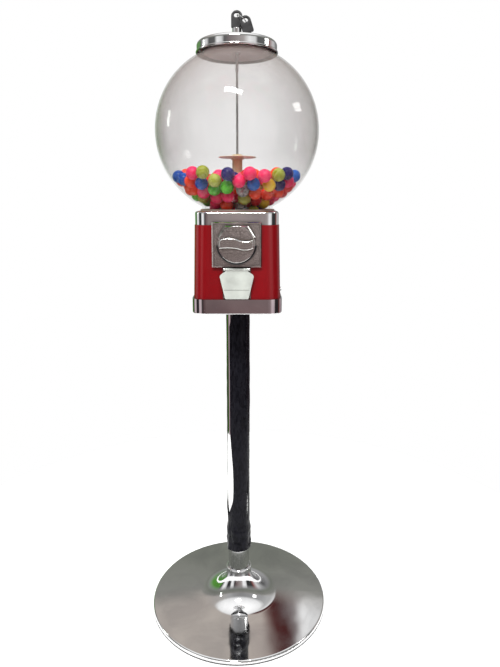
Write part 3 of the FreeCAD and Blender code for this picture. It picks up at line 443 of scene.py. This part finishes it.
WRAP_ROWS = 260
WRAP_COLUMNS = 120
SEAM_ANGLE = -60           # where the film's long edges meet at the cuff, in degrees from the front
TEAR_ANGLE = 57            # the middle of the tear on the right
LAP = 4                    # how far each edge laps over the other at the cuff, in degrees
CUFF_HEIGHT = 0.066
NOTCH_DEPTH = 0.035


def hump(value, start, end, peak=0.5):
    """A smooth rise from 0 at start to 1 at the peak's share of the way, and back to 0 at end."""
    share = (value - start) / (end - start)
    if not 0 < share < 1:
        return 0.0
    share = share / peak / 2 if share < peak else 1 - (1 - share) / (1 - peak) / 2
    return math.sin(math.pi * share)


def film_edges(z, cuff, top):
    """The angles of the film's front edge and of its back edge, which bare the tube's left side."""
    share = max(0.0, min(1.0, (z - cuff) / 0.07))
    parted = share * share * (3 - 2 * share)
    notch = max(0.0, 1 - (top - z) / NOTCH_DEPTH)
    front = SEAM_ANGLE - LAP + parted * (20 + 19 * hump(z, cuff, cuff + 0.24, 0.42)) + 22 * notch
    back = SEAM_ANGLE + LAP - parted * 50
    return front, back


def wrap_radius(angle, z, tube, cuff):
    """The film's distance from the axis: folds along the tube, and bunched rings at the cuff."""
    round_it = Vector((math.cos(angle), math.sin(angle), 0))
    folds = noise.noise(round_it * 2.6 + Vector((0, 0, z * 5)))
    creases = abs(noise.noise(round_it * 4.5 + Vector((3, 7, z * 26))))
    radius = tube + 0.0011 + 0.0008 * folds + 0.0010 * creases
    bunch = max(0.0, min(1.0, (cuff - z) / 0.018))
    rings = noise.noise(round_it * 1.4 + Vector((9, 2, z * 95)))
    lumps = noise.noise(round_it * 2.2 + Vector((1, 5, z * 40)))
    radius += bunch * (0.0024 + 0.0019 * rings + 0.0014 * lumps)
    return max(tube + 0.0004, min(radius, tube + 0.0062))


def film_line(z, cuff, top, tube):
    """One level's points round the tube, from the front edge to the back edge."""
    front, back = film_edges(z, cuff, top)
    tear = 9 * hump(z, cuff + 0.004, cuff + 0.12, 0.4)
    points = []
    for column in range(WRAP_COLUMNS + 1):
        share = column / WRAP_COLUMNS
        degrees = front + share * (360 + back - front)
        away = degrees - TEAR_ANGLE
        degrees += math.copysign(tear / 2 * math.exp(-abs(away) / 12), away)
        angle = math.radians(degrees)
        edge = min(share, 1 - share) * 360
        lift = 0.0014 * math.exp(-edge / 7) * max(0.0, min(1.0, (front - back) / 12))
        lap = 0.0007 if share > 0.5 and edge < 3 * LAP and front < back else 0
        radius = wrap_radius(angle, z, tube, cuff) + lift + lap
        sag = 0.0022 * noise.noise(Vector((share * 19, 4, z * 22)))
        sag *= max(0.0, min(1.0, (top - z) / 0.02, (z - cuff + CUFF_HEIGHT) / 0.01))
        points.append((radius * math.sin(angle), -radius * math.cos(angle), z + sag))
    return points, tear


def wrap_sheet():
    """The thin film round the tube, open down its left side and torn on its right."""
    low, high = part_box("pole_wrap")
    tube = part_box("stand_tube")[1].x
    cuff = low.z + CUFF_HEIGHT
    film = bmesh.new()
    rows = []
    for row in range(WRAP_ROWS + 1):
        z = low.z + (high.z - low.z) * row / WRAP_ROWS
        points, tear = film_line(z, cuff, high.z, tube)
        rows.append(([film.verts.new(point) for point in points], tear))
    for (lower, open_low), (upper, open_high) in zip(rows, rows[1:]):
        torn = -1
        if min(open_low, open_high) > 1:
            front, back = film_edges(lower[0].co.z, cuff, high.z)
            torn = int((TEAR_ANGLE - front) / (360 + back - front) * WRAP_COLUMNS)
        for column in range(WRAP_COLUMNS):
            if column != torn:
                film.faces.new((lower[column], lower[column + 1], upper[column + 1], upper[column]))
    piece = add_piece("wrap_film", film, FINISHES["wrap"])
    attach(piece, "machine")
    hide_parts("pole_wrap")


# ---------------------------------------------------------------- studio

FLOOR_RADIUS = 1.0
FLOOR_GAP = 0.0003


def floor():
    """A plain pale floor that stands still."""
    made = Finish("floor", (0.86, 0.86, 0.86), Roughness=0.7, Specular_IOR_Level=0.1)
    dust = made.noise(3, 3)
    made.link(made.colours(dust, (0.3, (0.93, 0.93, 0.93)), (0.7, (0.96, 0.96, 0.96))), "Base Color")
    slab = bmesh.new()
    bmesh.ops.create_circle(slab, cap_ends=True, segments=128, radius=FLOOR_RADIUS)
    piece = add_piece("studio_floor", slab, made.material, smooth=False)
    piece.location.z = CAD_BOX[0].z - FLOOR_GAP


ROOM_LIGHT = 3.0           # the world's strength; its colours are divided by it


def tones(*stops):
    """Ramp stops whose greys or colours are given as true brightness."""
    return [(position, tuple(channel / ROOM_LIGHT for channel in
                             (tone if isinstance(tone, tuple) else (tone, tone, tone))))
            for position, tone in stops]


def turn(degrees):
    """A ramp position for a compass direction: 0.5 is the front, more is to the right."""
    return 0.5 + degrees / 360


def world():
    """A soft studio with tinted panels for the reflections. The camera sees plain white."""
    room = bpy.data.worlds.new("room")
    bpy.context.scene.world = room
    room.use_nodes = True
    made = Nodes(room.node_tree)
    parts = made.node("SeparateXYZ", Vector=made.node("TexCoord").outputs["Generated"])
    x, y, z = (parts.outputs[axis] for axis in "XYZ")
    front = made.combine("MULTIPLY", y, -1.0)
    bearing = made.spread(made.combine("ARCTAN2", x, front), 0, 1, -math.pi, math.pi)
    height = made.spread(z, 0, 1, -1, 1)
    brown = (0.34, 0.29, 0.28)
    green = (0.10, 0.30, 0.05)
    panels = made.colours(bearing, *tones(
        (turn(-176), 0.30), (turn(-158), green), (turn(-128), green), (turn(-120), 0.06),
        (turn(-106), 1.2), (turn(-92), 0.9), (turn(-84), 0.04), (turn(-64), 0.05),
        (turn(-56), 1.2), (turn(-42), 0.9), (turn(-34), 0.04), (turn(-18), (0.20, 0.15, 0.15)),
        (turn(0), brown), (turn(20), (0.46, 0.41, 0.40)), (turn(36), 1.1), (turn(54), 0.9),
        (turn(62), 0.04), (turn(94), 0.05), (turn(104), (0.26, 0.08, 0.07)), (turn(126), 0.8),
        (turn(150), 0.12), (turn(168), 0.35)))
    overhead = made.colours(height, *tones(
        (0.50, 0.45), (0.66, 0.32), (0.74, (0.21, 0.22, 0.19)), (0.80, (0.27, 0.27, 0.25)),
        (0.85, (0.50, 0.44, 0.41)), (0.90, 0.85), (1.0, 1.3)))
    wedge = made.colours(bearing, *tones(
        (turn(-168), (0.50, 0.45, 0.41)), (turn(-60), 0.45), (turn(0), 0.30), (turn(120), 0.40),
        (turn(158), 0.50), (turn(166), 0.70), (turn(169.5), 0.95), (turn(170.3), (0.05, 0.01, 0.01)),
        (turn(174), (0.09, 0.02, 0.02)), (turn(175), (0.50, 0.44, 0.40))))
    middle = made.mix("MIX", made.spread(z, 1, 0, 0.78, 0.84), overhead,
                      made.mix("MIX", made.spread(z, 0, 1, 0.60, 0.66), overhead, wedge))
    sides = made.mix("MULTIPLY", made.spread(z, 1, 0, -0.22, -0.06), panels, (0.50, 0.37, 0.40, 1))
    scene = made.mix("MIX", made.spread(z, 1, 0, 0.20, 0.42), middle, sides)
    pale = 1.0 / ROOM_LIGHT
    camera_ray = made.node("LightPath").outputs["Is Camera Ray"]
    seen = made.mix("MIX", camera_ray, scene, (pale, pale, pale, 1))
    background = room.node_tree.nodes["Background"]
    background.inputs["Strength"].default_value = ROOM_LIGHT
    room.node_tree.links.new(seen, background.inputs["Color"])


def lamp(name, place, target, width, height, watts, colour=(1, 1, 1), roll=0, glossy=True):
    """A soft rectangular light that the camera doesn't see."""
    light = bpy.data.lights.new(name, "AREA")
    light.shape = "RECTANGLE"
    light.size = width
    light.size_y = height
    light.energy = watts
    light.color = colour
    holder = bpy.data.objects.new(name, light)
    aim = (Vector(target) - Vector(place)).to_track_quat("-Z", "Y").to_matrix().to_4x4()
    holder.matrix_world = Matrix.Translation(place) @ aim @ Matrix.Rotation(math.radians(roll), 4, "Z")
    holder.visible_camera = False
    holder.visible_glossy = glossy
    bpy.context.scene.collection.objects.link(holder)


def overhead_sun():
    """Even light from straight above for the floor and the tops of things."""
    light = bpy.data.lights.new("overhead_sun", "SUN")
    light.energy = 1.9
    light.angle = math.radians(70)
    holder = bpy.data.objects.new("overhead_sun", light)
    holder.visible_camera = False
    holder.visible_glossy = False
    bpy.context.scene.collection.objects.link(holder)


def lights():
    globe_low, globe_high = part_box("globe")
    globe = (globe_low + globe_high) / 2
    body = Vector((0, 0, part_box("shell")[0].z))
    lamp("ceiling_tube", (-0.09, -1.05, globe.z + 1.08), globe, 0.55, 0.16, 20, roll=-12)
    lamp("window_right", (1.9, 0.1, globe.z + 0.8), globe, 0.45, 0.28, 4, (1.0, 0.99, 0.96))
    lamp("window_left", (-2.0, 0.5, globe.z + 0.45), globe, 0.18, 0.45, 2.5, (0.93, 1.0, 0.93))
    lamp("soft_front", (-0.9, -1.7, 2.6), body, 1.2, 0.8, 30, glossy=False)


CAMERA_PLACE = (0.0276, -1.237, 0.985)
CAMERA_DIP = 10.37         # degrees below level
CAMERA_LENS = 29.8
CAMERA_SHIFT = -0.050


def camera():
    """The photographer's standing view, a little above the dial and looking slightly down."""
    lens = bpy.data.cameras.new("camera")
    lens.lens = CAMERA_LENS
    lens.shift_y = CAMERA_SHIFT
    holder = bpy.data.objects.new("camera", lens)
    holder.location = CAMERA_PLACE
    holder.rotation_euler = (math.radians(90 - CAMERA_DIP), 0, 0)
    bpy.context.scene.collection.objects.link(holder)
    bpy.context.scene.camera = holder


# ---------------------------------------------------------------- build

def finishes():
    """One material for each of the record's slots."""
    made = {
        "chrome": chrome(),
        "cast_chrome": cast_chrome(),
        "steel": steel(),
        "brass": brass(),
        "red_paint": red_paint(),
        "wrap": wrap_film(),
        "clear_plastic": clear_plastic(),
        "door_white": door_white(),
        "tan_wood": tan_wood(),
        "tan_plastic": tan_plastic(),
        "edge_rubber": soft_plastic("edge_rubber", (0.03, 0.03, 0.03), 0.6),
        "beige_rubber": soft_plastic("beige_rubber", (0.50, 0.40, 0.33), 0.5),
        "grey_rubber": soft_plastic("grey_rubber", (0.30, 0.29, 0.29), 0.5),
        "grey_plastic": soft_plastic("grey_plastic", (0.25, 0.205, 0.205), 0.4),
        "white_plastic": soft_plastic("white_plastic", (0.78, 0.78, 0.74), 0.35),
        "black_plastic": soft_plastic("black_plastic", (0.015, 0.015, 0.016), 0.35, 200, 0.0002),
    }
    for colour in BALL_COLOURS:
        made["ball_" + colour] = ball_paint(colour)
    return {slot: finish.material for slot, finish in made.items()}


def dress_nodes():
    """Gives every CAD node the material of its slot."""
    for part in frame["record"]["subparts"]:
        for holder in NODES[part["node"]].material_slots:
            holder.material = FINISHES[part["material_slot"]]


FINISHES = finishes()
dress_nodes()
dice = random.Random(BALL_SEED)
for colour in BALL_COLOURS:
    balls("balls_" + colour, colour, "machine", dice)
balls("balls_in_wheel", "pink", "wheel", dice)
wrap_sheet()
# a black lip put in as the painted shadow under the dial
dial_shadow_lip()
floor()
world()
lights()
overhead_sun()
camera()
bpy.context.scene.view_settings.view_transform = "Standard"
